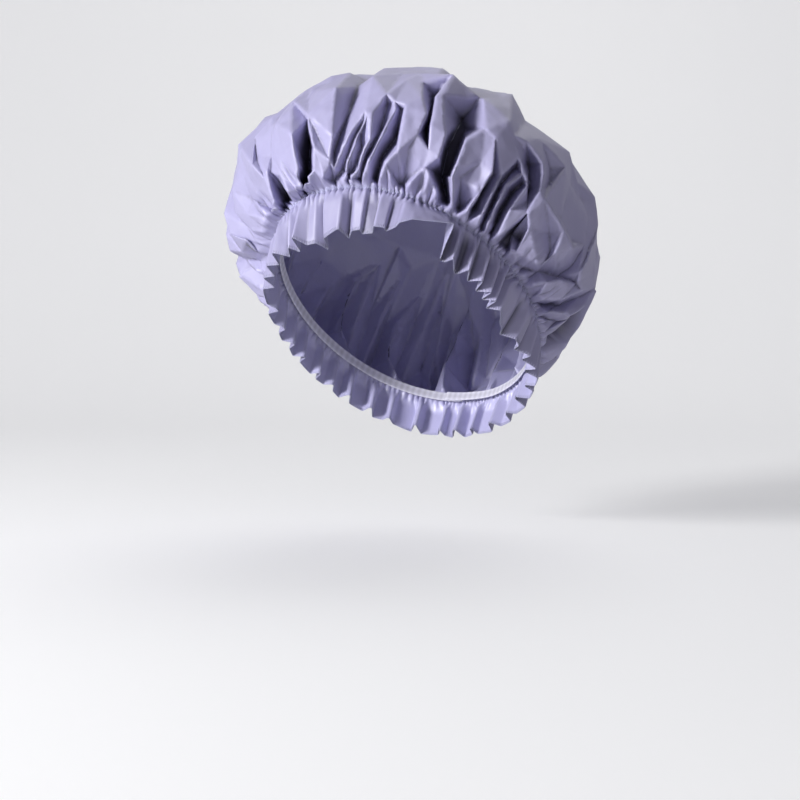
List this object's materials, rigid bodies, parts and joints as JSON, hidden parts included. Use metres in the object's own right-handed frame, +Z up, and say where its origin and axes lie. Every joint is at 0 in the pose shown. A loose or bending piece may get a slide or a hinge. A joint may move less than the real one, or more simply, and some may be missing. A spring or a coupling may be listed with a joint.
{
  "type": "shower cap",
  "caption": "Satin-lined vinyl shower cap as worn: a blousy pleated crown gathered by an elastic band, with a short ruffle beyond it.",
  "frame": {"origin": "centre of the elastic opening, on the gather line's mean plane, where the wearer's head holds the cap", "axes": "+Z up along the wearer's upright head, -Y towards the face, +X towards the wearer's left; the opening's plane leans back 41 degrees about X, high at the forehead and low at the nape"},
  "size_m": [0.2329, 0.2337, 0.2322],
  "materials": {
    "vinyl_film": "satin",
    "satin": "satin",
    "elastic": "matte"
  },
  "bodies": {
    "root": {"outer_shell": "vinyl_film", "satin_lining": "satin", "elastic_band": "elastic"}
  },
  "joints": []
}
